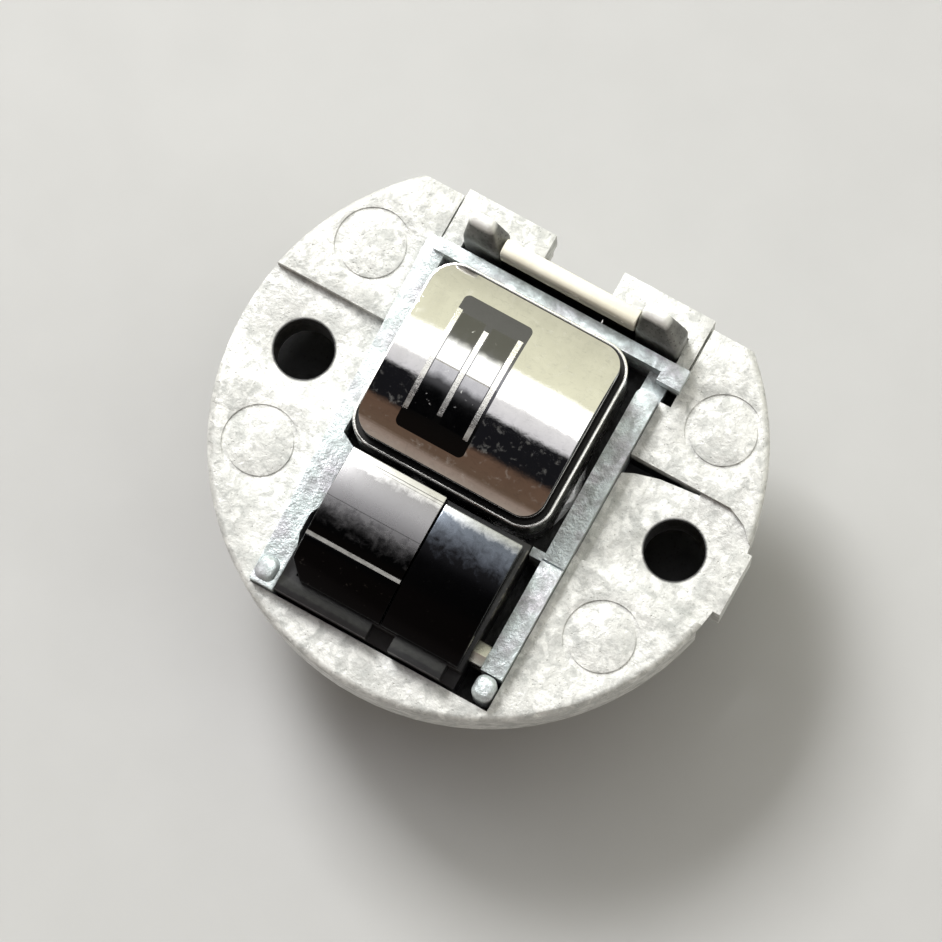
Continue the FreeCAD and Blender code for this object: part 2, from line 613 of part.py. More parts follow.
def main():
    os.makedirs("parts", exist_ok=True)
    save("rotary_holder", rotary_holder())
    save("head_frame", head_frame())
    save("frame_rivets", frame_rivets())
    save("head_can", head_can())
    save("head_outer_shield", head_outer_shield())
    save("head_bond_line", head_bond())
    save("window_resin", window_resin())
    save("centre_shield_strip", strip(0, CENTRE_STRIP_L, CORE_BACK))
    side_strips = [strip(side * CHANNEL_PITCH, STRIP_L, CORE_BACK) for side in (-1, 1)]
    save("side_shield_strips", Part.makeCompound(side_strips))
    for channel, name in ((-1, "left"), (1, "right")):
        save(name + "_core_leading", core_half(channel, 1))
        save(name + "_core_trailing", core_half(channel, -1))
        save(name + "_channel_coils", channel_coils(channel))
    save("gap_shims", gap_shims())
    save("head_terminal_board", head_terminal_board())
    save("head_terminal_pins", head_terminal_pins())
    save("erase_case", erase_case())
    save("erase_core_leading", erase_core(1))
    save("erase_core_trailing", erase_core(-1))
    save("erase_back_core", erase_back_core())
    save("erase_gap_spacer", erase_gap_spacer())
    save("erase_coil", erase_coil())
    save("erase_coil_bobbin", erase_bobbin())
    save("erase_dummy_block", erase_dummy_block())
    save("erase_terminal_pins", erase_terminal_pins())
    save("erase_head_clip", erase_clip())
    save("tape_guide_bar", tape_guide_bar())
    save("guide_base", guide_base())
    save("left_guide_lug", guide_lug(LUG_LEFT_X, LUG_LEFT_TIP))
    save("right_guide_lug", guide_lug(LUG_RIGHT_X, LUG_RIGHT_TIP))
    save("pivot_sleeve", pivot_sleeve())
    save("retaining_ring", retaining_ring())
    save("bearing_bush", bearing_bush())
    save("stop_plate", stop_plate())
    save("thrust_washer", thrust_washer())
    save("reverse_gear", reverse_gear())


main()
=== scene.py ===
"""Rotating tape head block: finishes, finely shaped pieces, studio and camera.

Metres, in the frame of the part; the patterns, tables and helpers below take millimetres.
"""
import json
import math
from functools import reduce

import bmesh
import bpy
from mathutils import Matrix, Vector


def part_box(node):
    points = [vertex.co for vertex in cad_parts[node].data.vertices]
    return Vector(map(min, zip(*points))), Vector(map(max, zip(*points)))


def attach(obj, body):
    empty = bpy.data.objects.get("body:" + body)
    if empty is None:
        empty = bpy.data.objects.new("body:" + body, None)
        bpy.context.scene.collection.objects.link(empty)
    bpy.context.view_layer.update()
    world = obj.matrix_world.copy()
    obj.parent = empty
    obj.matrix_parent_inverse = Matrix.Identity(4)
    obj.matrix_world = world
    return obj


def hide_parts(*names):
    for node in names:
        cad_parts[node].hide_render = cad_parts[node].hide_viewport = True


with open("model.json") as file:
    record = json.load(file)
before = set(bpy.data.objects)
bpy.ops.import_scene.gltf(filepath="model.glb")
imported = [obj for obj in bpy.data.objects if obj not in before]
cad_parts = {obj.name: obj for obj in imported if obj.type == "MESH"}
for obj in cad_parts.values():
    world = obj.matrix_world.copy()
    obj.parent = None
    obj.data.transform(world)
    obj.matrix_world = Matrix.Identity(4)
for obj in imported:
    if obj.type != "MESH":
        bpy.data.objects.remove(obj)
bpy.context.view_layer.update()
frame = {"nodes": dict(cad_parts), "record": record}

MM = 0.001

# Sockets of a colour mix, whose names repeat between its data types.
MIX_SHARE, MIX_FIRST, MIX_SECOND, MIX_RESULT = 0, 6, 7, 2

# Places on the part that its finishes follow, in millimetres.
SCREW_COLUMNS = (-5.34, 5.52)
SCREW_ROW = -0.15
SCREW_RADIUS = 0.79
POCKET_EDGE_Z = 5.62
POCKET_RADIUS = 5.0
# Heights along Y that bound the painted reflection band on the record head's cores.
REFLECTION_HIGH_Y = 1.5
REFLECTION_LOW_Y = 0.48
# Height above which the guide lugs get a painted highlight.
LUG_TIP_Z = 7.78
# Height along Y past which the erase poles get a painted highlight.
GLINT_EDGE_Y = -2.14
LIP_Y = -5.56
LIP_BACK_Y = -5.82
LIP_Z = 6.5
CASE_SIDE_X = 2.3
CASE_PATCH_Y = -3.9
LAYER_PITCH = 0.085
WIRE_PITCH = 0.06
# Dark lines across the erase head: where, half widths of their soft edges, and weight.
POLE_LINES = ((-3.33, 0.014, 0.004, 1.0), (-2.12, 0.016, 0.005, 1.0), (-2.2, 0.012, 0.004, 0.7))


# ---------------------------------------------------------------- shader tools

class Value:
    """A socket that numbers and other values can be combined with."""

    def __init__(self, finish, socket):
        self.finish = finish
        self.socket = socket

    def _maths(self, operation, *values):
        return self.finish.maths(operation, *values)

    def __add__(self, other):
        return self._maths("ADD", self, other)

    def __radd__(self, other):
        return self._maths("ADD", other, self)

    def __sub__(self, other):
        return self._maths("SUBTRACT", self, other)

    def __rsub__(self, other):
        return self._maths("SUBTRACT", other, self)

    def __mul__(self, other):
        return self._maths("MULTIPLY", self, other)

    def __rmul__(self, other):
        return self._maths("MULTIPLY", other, self)

    def __pow__(self, other):
        return self._maths("POWER", self, other)

    def sine(self):
        return self._maths("SINE", self)

    def most(self, other):
        """The greater of two values."""
        return self._maths("MAXIMUM", self, other)

    def within(self, low, high):
        """0 below low, 1 above high, and even between them."""
        node = self.finish.node("ShaderNodeMapRange", {"clamp": True},
                                {"Value": self, "From Min": low, "From Max": high})
        return Value(self.finish, node.outputs["Result"])


class Finish:
    """One procedural finish; lengths in its patterns are millimetres."""

    def __init__(self, name, **constants):
        self.material = bpy.data.materials.new(name)
        self.material.use_nodes = True
        self.tree = self.material.node_tree
        self.shader = self.tree.nodes["Principled BSDF"]
        for socket, constant in constants.items():
            self.shader.inputs[socket.replace("_", " ")].default_value = constant
        where = self.node("ShaderNodeTexCoord", {}, {}).outputs["Object"]
        scaled = self.node("ShaderNodeVectorMath", {"operation": "SCALE"},
                           {"Vector": where, "Scale": 1 / MM})
        self.place = scaled.outputs["Vector"]

    def node(self, kind, settings, inputs):
        """New shader node with its settings, and its inputs linked or set."""
        made = self.tree.nodes.new(kind)
        for key, setting in settings.items():
            setattr(made, key, setting)
        for key, given in inputs.items():
            if isinstance(given, Value):
                given = given.socket
            if isinstance(given, bpy.types.NodeSocket):
                self.tree.links.new(given, made.inputs[key])
            else:
                made.inputs[key].default_value = given
        return made

    def maths(self, operation, *values):
        inputs = dict(enumerate(values))
        return Value(self, self.node("ShaderNodeMath", {"operation": operation}, inputs).outputs[0])

    def along(self, axis):
        """Distance along X, Y or Z, in millimetres."""
        split = self.node("ShaderNodeSeparateXYZ", {}, {"Vector": self.place})
        return Value(self, split.outputs[axis])

    def ring_distance(self, x, y):
        """Distance from an upright axis, in millimetres."""
        return ((self.along("X") - x) ** 2 + (self.along("Y") - y) ** 2) ** 0.5

    def facing_up(self):
        """1 on level surfaces and 0 on upright ones."""
        normal = self.node("ShaderNodeNewGeometry", {}, {}).outputs["Normal"]
        return Value(self, self.node("ShaderNodeSeparateXYZ", {}, {"Vector": normal}).outputs["Z"])

    def stretched(self, x, y, z):
        """Place with its axes scaled, for brushed and layered patterns."""
        mapped = self.node("ShaderNodeMapping", {}, {"Vector": self.place, "Scale": (x, y, z)})
        return mapped.outputs["Vector"]

    def noise(self, size, detail=3.0, rough=0.55, warp=0.0, place=None):
        """Cloudy pattern of that feature size."""
        inputs = {"Vector": place or self.place, "Scale": 1 / size, "Detail": detail,
                  "Roughness": rough, "Distortion": warp}
        return Value(self, self.node("ShaderNodeTexNoise", {}, inputs).outputs["Fac"])

    def cells(self, size):
        """Distance from the middle of pores of that size."""
        inputs = {"Vector": self.place, "Scale": 1 / size}
        return Value(self, self.node("ShaderNodeTexVoronoi", {}, inputs).outputs["Distance"])

    def mix(self, first, second, share):
        """First colour where share is 0, second where it is 1."""
        inputs = {MIX_SHARE: share, MIX_FIRST: self.colour(first), MIX_SECOND: self.colour(second)}
        return self.node("ShaderNodeMix", {"data_type": "RGBA"}, inputs).outputs[MIX_RESULT]

    @staticmethod
    def colour(given):
        """A triple as an opaque colour; anything else as it is."""
        return (*given, 1) if isinstance(given, tuple) else given

    def set(self, **values):
        """Varying values of the shader."""
        for name, given in values.items():
            given = given.socket if isinstance(given, Value) else given
            self.tree.links.new(given, self.shader.inputs[name.replace("_", " ")])

    def relief(self, height, depth, strength=1.0):
        """Surface relief of that depth in millimetres."""
        inputs = {"Height": height, "Distance": depth * MM, "Strength": strength}
        self.set(Normal=self.node("ShaderNodeBump", {}, inputs).outputs["Normal"])


# ---------------------------------------------------------------- finishes

def die_cast_zinc():
    """Pale zinc as it comes from the die, with flow marks and fine pits, and its recesses painted near
    black for dirt and shade.
    """
    f = Finish("die_cast_zinc_finish", Metallic=0.2, Specular_IOR_Level=0.7)
    spots = f.noise(0.42, 4, 0.6, 0.5).within(0.47, 0.60)
    flow = f.noise(0.75, 4, 0.6, 1.2).within(0.42, 0.66)
    smear = f.noise(0.26, 4, 0.65, 0.8).within(0.52, 0.66)
    grain = f.noise(0.07, 4, 0.7)
    pits = f.cells(0.16).within(0.02, 0.16)
    base = f.mix((0.63, 0.63, 0.605), (0.42, 0.43, 0.415), flow * 0.7)
    spotted = f.mix(base, (0.84, 0.84, 0.81), spots * 0.75)
    smeared = f.mix(spotted, (0.36, 0.37, 0.355), smear * 0.55)
    worn = f.mix(smeared, (0.26, 0.265, 0.26), grain.within(0.58, 0.8) * 0.55)
    skin = f.mix((0.24, 0.24, 0.235), worn, 0.5 + 0.5 * pits)
    # Painted shade and dirt: the pocket's floor, its inner walls and the screw holes are coloured near
    # black.
    deep = f.along("Z").within(POCKET_EDGE_Z, POCKET_EDGE_Z - 0.32)
    inner = f.ring_distance(0, 0).within(POCKET_RADIUS + 0.2, POCKET_RADIUS)
    grime_and_shade = deep * f.facing_up().within(0.5, 0.8).most(inner * f.facing_up().within(-0.6, -0.3))
    for x in SCREW_COLUMNS:
        in_hole = f.ring_distance(x, SCREW_ROW).within(SCREW_RADIUS + 0.07, SCREW_RADIUS + 0.02)
        grime_and_shade = grime_and_shade.most(in_hole)
    f.set(Base_Color=f.mix(skin, (0.018, 0.018, 0.018), grime_and_shade))
    f.set(Roughness=0.36 + 0.18 * flow + 0.14 * grain)
    f.relief(grain * 0.35 + f.noise(0.3, 3, 0.5, 0.4) + pits * 0.3, 0.045, 0.8)
    return f.material


def plated_frame():
    """Bluish plate over a rough casting, mottled dark and light."""
    f = Finish("plated_frame_finish", Metallic=0.55)
    cloud = f.noise(0.35, 4, 0.6, 0.5).within(0.40, 0.62)
    violet = f.noise(0.7, 2, 0.5).within(0.45, 0.65)
    grain = f.noise(0.06, 4, 0.7)
    pale = f.mix((0.66, 0.73, 0.74), (0.62, 0.61, 0.66), violet)
    dull = f.mix(pale, (0.30, 0.33, 0.33), cloud * 0.65)
    f.set(Base_Color=f.mix(dull, (0.86, 0.90, 0.89), grain.within(0.56, 0.72) * 0.5))
    f.set(Roughness=0.30 + 0.22 * cloud)
    f.relief(grain * 0.6 + f.noise(0.2, 2) * 0.9, 0.04, 0.8)
    return f.material


def lapped_mirror():
    """Mirror lapped along the tape, slightly wavy, with hairlines and worn marks, its sides painted
    near black as shade.
    """
    f = Finish("lapped_mirror_finish", Metallic=1.0)
    hair = f.noise(0.03, 2, 0.5, 0.0, f.stretched(1, 0.03, 0.03))
    wave = f.noise(0.22, 4, 0.6, 0.3, f.stretched(1, 0.8, 1)) + f.noise(0.9, 2) * 2.0
    wipe = f.noise(0.8, 3, 0.5, 0.5)
    marks = f.noise(0.12, 3, 0.6, 0.3, f.stretched(0.35, 1, 1)).within(0.60, 0.70)
    haze = f.noise(0.16, 4, 0.65, 0.5).within(0.50, 0.68)
    lapped = f.mix((0.95, 0.94, 0.90), (0.86, 0.85, 0.81), wipe.within(0.4, 0.7))
    hazed = f.mix(lapped, (0.74, 0.74, 0.72), haze * 0.35)
    marked = f.mix(hazed, (0.55, 0.55, 0.54), marks * 0.25)
    # Painted shade: faces turned away from overhead, the can's sides, are coloured near black.
    f.set(Base_Color=f.mix((0.05, 0.05, 0.05), marked, f.facing_up().within(0.30, 0.6)))
    dull = f.noise(0.22, 4, 0.6, 0.3).within(0.58, 0.72)
    f.set(Metallic=1 - 0.09 * dull)
    f.set(Roughness=0.03 + 0.05 * wipe.within(0.45, 0.75) + 0.05 * marks + 0.05 * haze)
    f.relief(hair * 0.25 + wave, 0.0032, 0.5)
    return f.material


def brushed(name, light, dark, rough, lie=(1, 12, 12)):
    """Drawn or turned metal with lines along one axis."""
    f = Finish(name, Metallic=1.0)
    lines = f.noise(0.12, 4, 0.6, 0.0, f.stretched(*lie))
    stain = f.noise(0.5, 3, 0.5, 0.4).within(0.42, 0.68)
    f.set(Base_Color=f.mix(light, dark, lines.within(0.35, 0.7) * 0.6 + stain * 0.4))
    f.set(Roughness=rough + 0.15 * stain)
    f.relief(lines, 0.008, 0.4)
    return f.material


def smooth_plastic(name, light, dark, rough):
    """Moulded plastic with a slight orange peel and handling marks."""
    f = Finish(name)
    cloud = f.noise(0.6, 3, 0.5, 0.3).within(0.4, 0.7)
    peel = f.noise(0.07, 3, 0.5)
    f.set(Base_Color=f.mix(light, dark, cloud))
    f.set(Roughness=rough + 0.12 * cloud)
    f.relief(peel, 0.006, 0.4)
    return f.material


def lapped_ferrite(name, bright, shine_y, fade, flecks, lines):
    """Polished black ferrite with a painted reflection band on its level faces: bright above shine_y,
    breaking up below it into black, and painted brighter still towards +Y as a highlight.

    Flecks and lines are the weights of the pale specks and of the dark joint lines.
    """
    f = Finish(name, Metallic=0.9)
    break_up = f.noise(0.22, 4, 0.65, 0.4) - 0.5
    # Painted reflection: a bright band on the level faces above shine_y, breaking up into black below
    # it.
    reflection_band = (f.along("Y") + break_up * (fade * 1.6)).within(shine_y - fade, shine_y)
    pore = f.cells(0.06).within(0.0, 0.2)
    fleck = f.noise(0.16, 3, 0.6).within(0.66, 0.74) * flecks
    joint = f.along("Y") + f.noise(0.5, 2) * 0.03
    lined = reduce(Value.most, [(joint - y).most(y - joint).within(soft, full) * weight
                                for y, soft, full, weight in POLE_LINES])
    dark = f.mix((0.008, 0.008, 0.009), (0.07, 0.07, 0.068), fleck)
    # Painted highlight: the colour is made brighter still towards +Y past this height.
    edge = (f.along("Y") + break_up * 0.5).within(GLINT_EDGE_Y - 0.28, GLINT_EDGE_Y)
    lit = f.mix(bright, tuple(0.42 + 1.3 * part for part in bright), edge)
    ruled = f.mix(lit, (0.05, 0.05, 0.05), lined * lines)
    metal = f.mix(dark, ruled, reflection_band * (0.82 + 0.18 * pore))
    f.set(Base_Color=f.mix((0.012, 0.012, 0.012), metal, f.facing_up().within(0.3, 0.7)))
    f.set(Roughness=0.13 + 0.10 * reflection_band + 0.1 * f.noise(0.3))
    f.relief(pore + f.noise(0.12, 3, 0.5, 0.0, f.stretched(1, 0.2, 0.2)), 0.0015, 0.5)
    return f.material


def laminations():
    """Thin plates of a head core, edge on and lapped with the can's face, with a painted reflection
    band: pale between two heights along Y and dark above and below it.
    """
    f = Finish("laminated_core_finish", Metallic=1.0)
    layer = (f.along("X") * (2 * math.pi / LAYER_PITCH)).sine().within(-0.6, 0.3)
    cloud = f.noise(0.25, 3, 0.5).within(0.35, 0.7)
    spot = f.noise(0.2, 2, 0.5).within(0.68, 0.74)
    face = f.mix((0.66, 0.66, 0.66), (0.72, 0.72, 0.71), layer * 0.2 + cloud * 0.3)
    # Painted reflection: the face is pale only between the band's two heights, dark below and above it.
    up = f.along("Y") + cloud * 0.08
    lower = f.mix((0.10, 0.10, 0.10), face, up.within(REFLECTION_LOW_Y, REFLECTION_LOW_Y + 0.2))
    upper = f.mix(lower, (0.15, 0.15, 0.152), up.within(REFLECTION_HIGH_Y, REFLECTION_HIGH_Y + 0.16))
    f.set(Base_Color=f.mix(upper, (0.75, 0.75, 0.72), spot * 0.6))
    f.set(Roughness=0.10 + 0.05 * cloud + 0.3 * spot)
    f.relief(cloud, 0.0004, 0.2)
    return f.material


def lapped_resin():
    """Lapped grey resin in the window, with a painted reflection: grey in its upper part and painted
    near black towards its lower end.
    """
    f = Finish("window_resin_finish", Metallic=0.9)
    fill = f.cells(0.045).within(0.0, 0.5)
    # Painted reflection: grey in the upper part, fading to near black lower down.
    upper = f.along("Y").within(-0.2, 1.2)
    grey = f.mix((0.135, 0.135, 0.15), (0.17, 0.17, 0.18), fill * 0.4 + f.noise(0.3) * 0.3)
    f.set(Base_Color=f.mix((0.018, 0.018, 0.018), grey, upper))
    f.set(Roughness=0.12 + 0.08 * f.noise(0.3))
    f.relief(fill, 0.0006, 0.25)
    return f.material


def moulded_case():
    """Black moulded case, its low front lip rubbed grey and pale patches on its right side."""
    f = Finish("black_case_finish")
    rub = f.noise(0.2, 4, 0.6)
    front = (f.along("Y") + (rub - 0.5) * 0.16).within(LIP_Y, LIP_Y - 0.06)
    back = (f.along("Y") + (rub - 0.5) * 0.1).within(LIP_BACK_Y - 0.06, LIP_BACK_Y)
    level = f.facing_up().within(0.7, 0.9) * f.along("Z").within(LIP_Z - 0.3, LIP_Z)
    lip = front * back * level
    plain = f.mix((0.014, 0.014, 0.015), (0.04, 0.042, 0.038), lip * (0.2 + 0.7 * rub))
    # Pale patches on the right side, towards its +Y end.
    pale_patches = f.noise(0.32, 4, 0.65, 0.4).within(0.50, 0.58)
    side = f.along("X").within(CASE_SIDE_X, CASE_SIDE_X + 0.1)
    upper_end = f.along("Y").within(CASE_PATCH_Y - 0.8, CASE_PATCH_Y)
    f.set(Base_Color=f.mix(plain, (0.42, 0.41, 0.34), pale_patches * side * upper_end))
    f.set(Roughness=0.28 + 0.3 * rub)
    f.relief(f.noise(0.08, 3), 0.01, 0.4)
    return f.material


def lug_metal():
    """Dark sintered lug, its top painted bright as a highlight."""
    f = Finish("lug_metal_finish", Metallic=0.75)
    pore = f.cells(0.1).within(0.0, 0.35)
    cloud = f.noise(0.4, 4, 0.6).within(0.35, 0.65)
    # Painted highlight: the lug's top is coloured near white and made less metallic.
    painted_top_highlight = (f.along("Z") + f.noise(0.2) * 0.1).within(LUG_TIP_Z, LUG_TIP_Z + 0.15)
    dark = f.mix((0.07, 0.07, 0.068), (0.28, 0.28, 0.265), pore * (0.4 + 0.6 * cloud))
    f.set(Base_Color=f.mix(dark, (0.95, 0.95, 0.92), painted_top_highlight))
    f.set(Metallic=0.75 - 0.55 * painted_top_highlight)
    f.set(Roughness=0.36 + 0.2 * cloud)
    f.relief(pore * 0.5 + f.noise(0.12), 0.02, 0.5)
    return f.material


def dark_bond():
    """Dull black bond and paint."""
    f = Finish("dark_bond_finish", Specular_IOR_Level=0.3)
    cloud = f.noise(0.15, 3)
    f.set(Base_Color=f.mix((0.010, 0.010, 0.010), (0.026, 0.025, 0.024), cloud))
    f.set(Roughness=0.45 + 0.2 * cloud)
    f.relief(cloud, 0.01, 0.4)
    return f.material


def enamelled_wire():
    """Fine turns of copper wire round an upright leg."""
    f = Finish("copper_winding_finish", Metallic=0.9, Coat_Weight=0.5, Coat_Roughness=0.15)
    turn = (f.along("Z") * (2 * math.pi / WIRE_PITCH)).sine().within(-1, 1)
    f.set(Base_Color=f.mix((0.20, 0.05, 0.02), (0.62, 0.25, 0.10), turn))
    f.set(Roughness=0.28 + 0.2 * f.noise(0.2))
    f.relief(turn, 0.02, 0.8)
    return f.material


def paper_board():
    """Brown paper board with its weave showing."""
    f = Finish("terminal_board_finish")
    weave = f.noise(0.08, 4, 0.6, 0.0, f.stretched(1, 3, 1))
    f.set(Base_Color=f.mix((0.30, 0.19, 0.09), (0.17, 0.10, 0.05), weave.within(0.35, 0.7)))
    f.set(Roughness=0.5 + 0.2 * weave)
    f.relief(weave, 0.01, 0.5)
    return f.material


def gap_glass():
    """Grey glass that bonds a gap."""
    f = Finish("gap_glass_finish", Metallic=0.3)
    cloud = f.noise(0.15, 3)
    f.set(Base_Color=f.mix((0.42, 0.42, 0.41), (0.22, 0.22, 0.21), cloud.within(0.4, 0.7)))
    f.set(Roughness=0.2 + 0.15 * cloud)
    f.relief(cloud, 0.001, 0.3)
    return f.material


def sintered(name, light, dark):
    """Dark pressed and sintered metal with open pores."""
    f = Finish(name, Metallic=0.8)
    pore = f.cells(0.1).within(0.0, 0.35)
    cloud = f.noise(0.4, 4, 0.6).within(0.35, 0.65)
    f.set(Base_Color=f.mix(dark, light, pore * (0.4 + 0.6 * cloud)))
    f.set(Roughness=0.38 + 0.25 * cloud)
    f.relief(pore * 0.5 + f.noise(0.12), 0.02, 0.5)
    return f.material


FINISHES = {
    "die_cast_zinc": die_cast_zinc(),
    "plated_frame": plated_frame(),
    "head_mirror": lapped_mirror(),
    "shield_steel": brushed("shield_steel_finish", (0.90, 0.89, 0.84), (0.66, 0.65, 0.61), 0.2),
    "black_resin": lapped_resin(),
    "laminated_core": laminations(),
    "copper_winding": enamelled_wire(),
    "gap_metal": brushed("gap_metal_finish", (0.34, 0.33, 0.31), (0.27, 0.26, 0.24), 0.14),
    "board": paper_board(),
    "tinned_pin": brushed("tinned_pin_finish", (0.80, 0.80, 0.77), (0.58, 0.58, 0.55), 0.22,
                          lie=(12, 12, 1)),
    "black_case": moulded_case(),
    # Painted reflection: the colour and height given here place the erase poles' reflection band.
    "ferrite": lapped_ferrite("lapped_ferrite_finish", (0.255, 0.25, 0.255), -3.42, 0.62, 1.0, 0.8),
    "gap_glass": gap_glass(),
    "bobbin_plastic": smooth_plastic("bobbin_plastic_finish", (0.74, 0.70, 0.58),
                                     (0.64, 0.60, 0.49), 0.4),
    "spring_steel": brushed("spring_steel_finish", (0.80, 0.80, 0.76), (0.5, 0.49, 0.46), 0.25,
                            lie=(12, 1, 12)),
    "ivory_bar": smooth_plastic("ivory_bar_finish", (0.90, 0.87, 0.74), (0.82, 0.78, 0.64), 0.2),
    "lug_metal": lug_metal(),
    "sleeve_steel": brushed("sleeve_steel_finish", (0.66, 0.66, 0.65), (0.42, 0.42, 0.41), 0.24,
                            lie=(1, 1, 14)),
    "bush_bronze": sintered("bush_bronze_finish", (0.58, 0.42, 0.20), (0.30, 0.20, 0.09)),
    # Blackened steel, near black so that it also stands as painted shade in the screw holes and pit
    # above it.
    "black_steel": sintered("black_steel_finish", (0.016, 0.016, 0.017), (0.006, 0.006, 0.006)),
    "washer_plastic": smooth_plastic("washer_plastic_finish", (0.84, 0.84, 0.80),
                                     (0.76, 0.76, 0.71), 0.3),
    "gear_plastic": smooth_plastic("gear_plastic_finish", (0.83, 0.81, 0.73), (0.74, 0.71, 0.62), 0.35),
}
BOND = dark_bond()
# Painted reflection: the bluish colour given here is the dummy half's reflection band.
DUMMY_HALF = lapped_ferrite("dummy_half_finish", (0.085, 0.096, 0.115), -2.5, 0.8, 0.3, 0.0)
SLOTS = {row["node"]: row["material_slot"] for row in frame["record"]["subparts"]}
BODIES = {node: body for body, nodes in frame["record"]["behaviour"]["bodies"].items()
          for node in nodes}


def dress_cad_nodes():
    """Every node of the part gets the finish of its material slot."""
    for node, slot in SLOTS.items():
        for material_slot in frame["nodes"][node].material_slots:
            material_slot.material = FINISHES[slot]


dress_cad_nodes()


# ---------------------------------------------------------------- modelling tools

def pick(piece, kind, test):
    """Select the vertices, edges or faces that pass a test, in edit mode."""
    mesh = bmesh.from_edit_mesh(piece.data)
    for group in (mesh.verts, mesh.edges, mesh.faces):
        for item in group:
            item.select = False
    for item in getattr(mesh, kind):
        if test(item):
            item.select_set(True)
    mesh.select_flush_mode()
    bmesh.update_edit_mesh(piece.data)


def mode(name):
    """Switch the active piece to object or edit mode."""
    bpy.ops.object.mode_set(mode=name)


def alone(piece):
    """Make a piece the only selected one."""
    bpy.ops.object.select_all(action="DESELECT")
    piece.select_set(True)
    bpy.context.view_layer.objects.active = piece


def settled(piece):
    """Put a piece's place and turn into its mesh."""
    alone(piece)
    bpy.ops.object.transform_apply(location=True, rotation=True, scale=True)
    return piece


def is_upright(edge):
    """True for an edge that lies along Z."""
    low, high = sorted(v.co.z for v in edge.verts)
    return high - low > 0.9 * edge.calc_length()


def block(name, x, y, z, corner=0.0, steps=10):
    """Block between limits in millimetres, its upright edges rounded."""
    bpy.ops.object.select_all(action="DESELECT")
    bpy.ops.mesh.primitive_cube_add(size=1)
    piece = bpy.context.object
    piece.name = name
    mode("EDIT")
    bpy.ops.transform.resize(value=[(high - low) * MM for low, high in (x, y, z)])
    bpy.ops.transform.translate(value=[(low + high) / 2 * MM for low, high in (x, y, z)])
    if corner:
        bpy.ops.mesh.select_mode(type="EDGE")
        pick(piece, "edges", is_upright)
        bpy.ops.mesh.bevel(offset=corner * MM, segments=steps, affect="EDGES")
    mode("OBJECT")
    return piece


def lap(radius, y, apex, steps=450):
    """Cylinder along X that a head's face is lapped to."""
    bpy.ops.object.select_all(action="DESELECT")
    bpy.ops.mesh.primitive_cylinder_add(vertices=steps, radius=radius * MM, depth=16 * MM,
                                        location=(0, y * MM, (apex - radius) * MM),
                                        rotation=(0, math.pi / 2, 0))
    return settled(bpy.context.object)


def shape(piece, other, operation="DIFFERENCE"):
    """Cut a piece with another one, or keep what both share."""
    cut = piece.modifiers.new("cut", "BOOLEAN")
    cut.operation = operation
    cut.solver = "EXACT"
    cut.object = other
    applied(piece, cut)
    bpy.data.objects.remove(other)
    return piece


def applied(piece, modifier):
    """Put a modifier's result into the mesh."""
    alone(piece)
    bpy.ops.object.modifier_apply(modifier=modifier.name)


def rounded(piece, radius, steps=3, angle=32):
    """Round every edge sharper than an angle."""
    edges = piece.modifiers.new("rounded_edges", "BEVEL")
    edges.width = radius * MM
    edges.segments = steps
    edges.limit_method = "ANGLE"
    edges.angle_limit = math.radians(angle)
    edges.use_clamp_overlap = True
    applied(piece, edges)
    return piece


def placed(piece, node, material=None):
    """Give a finished piece its finish, body and slot, in place of the node that it stands for."""
    alone(piece)
    bpy.ops.object.shade_smooth_by_angle(angle=math.radians(38))
    piece.data.materials.clear()
    piece.data.materials.append(material or FINISHES[SLOTS[node]])
    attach(piece, BODIES[node])
    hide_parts(node)


def fine_copy(node):
    """Copy of a node as one clean closed mesh, ready to be finished."""
    bpy.ops.object.select_all(action="DESELECT")
    piece = bpy.data.objects.new(node + "_fine", frame["nodes"][node].data.copy())
    bpy.context.scene.collection.objects.link(piece)
    alone(piece)
    bpy.ops.mesh.customdata_custom_splitnormals_clear()
    mode("EDIT")
    bpy.ops.mesh.select_all(action="SELECT")
    bpy.ops.mesh.remove_doubles(threshold=0.0005 * MM)
    bpy.ops.mesh.dissolve_limited(angle_limit=math.radians(0.6))
    mode("OBJECT")
    return piece


def size_of(node):
    """A node's limits along X, Y and Z, in millimetres."""
    low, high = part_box(node)
    return [(low[axis] / MM, high[axis] / MM) for axis in range(3)]


# ---------------------------------------------------------------- the record head

HEAD_LAP = {"radius": 5.2, "y": 0.9, "apex": 8.2}
WINDOW = {"x": (-2.11, -0.15), "y": (-1.0, 2.8)}
WINDOW_CORNER = 0.16
WINDOW_Z = (6.5, 10)
CAN_CORNER = 0.6
CAN_WALL = 0.22
CAN_INNER_CORNER = 0.28
CAN_FACE_WALL = 0.4
BOND_WALL = 0.11
SLEEVE_WALL = 0.09
OUTLINE_STEPS = 14


def inset(limits, wall):
    """Limits moved inwards by a wall."""
    return limits[0] + wall, limits[1] - wall


def head_can():
    """Can with a lapped front, its edge rolled over and a window through it."""
    x, y, z = size_of("head_can")
    can = block("lapped_can", x, y, (z[0], z[1] + 0.5), CAN_CORNER, OUTLINE_STEPS)
    rounded(shape(can, lap(**HEAD_LAP), "INTERSECT"), 0.035)
    inside = block("inside", inset(x, CAN_WALL), inset(y, CAN_WALL), (z[0] - 1, z[1]), CAN_INNER_CORNER)
    shape(inside, lap(HEAD_LAP["radius"], HEAD_LAP["y"], HEAD_LAP["apex"] - CAN_FACE_WALL), "INTERSECT")
    shape(can, inside)
    shape(can, block("opening", WINDOW["x"], WINDOW["y"], WINDOW_Z, WINDOW_CORNER, 8))
    placed(can, "head_can")


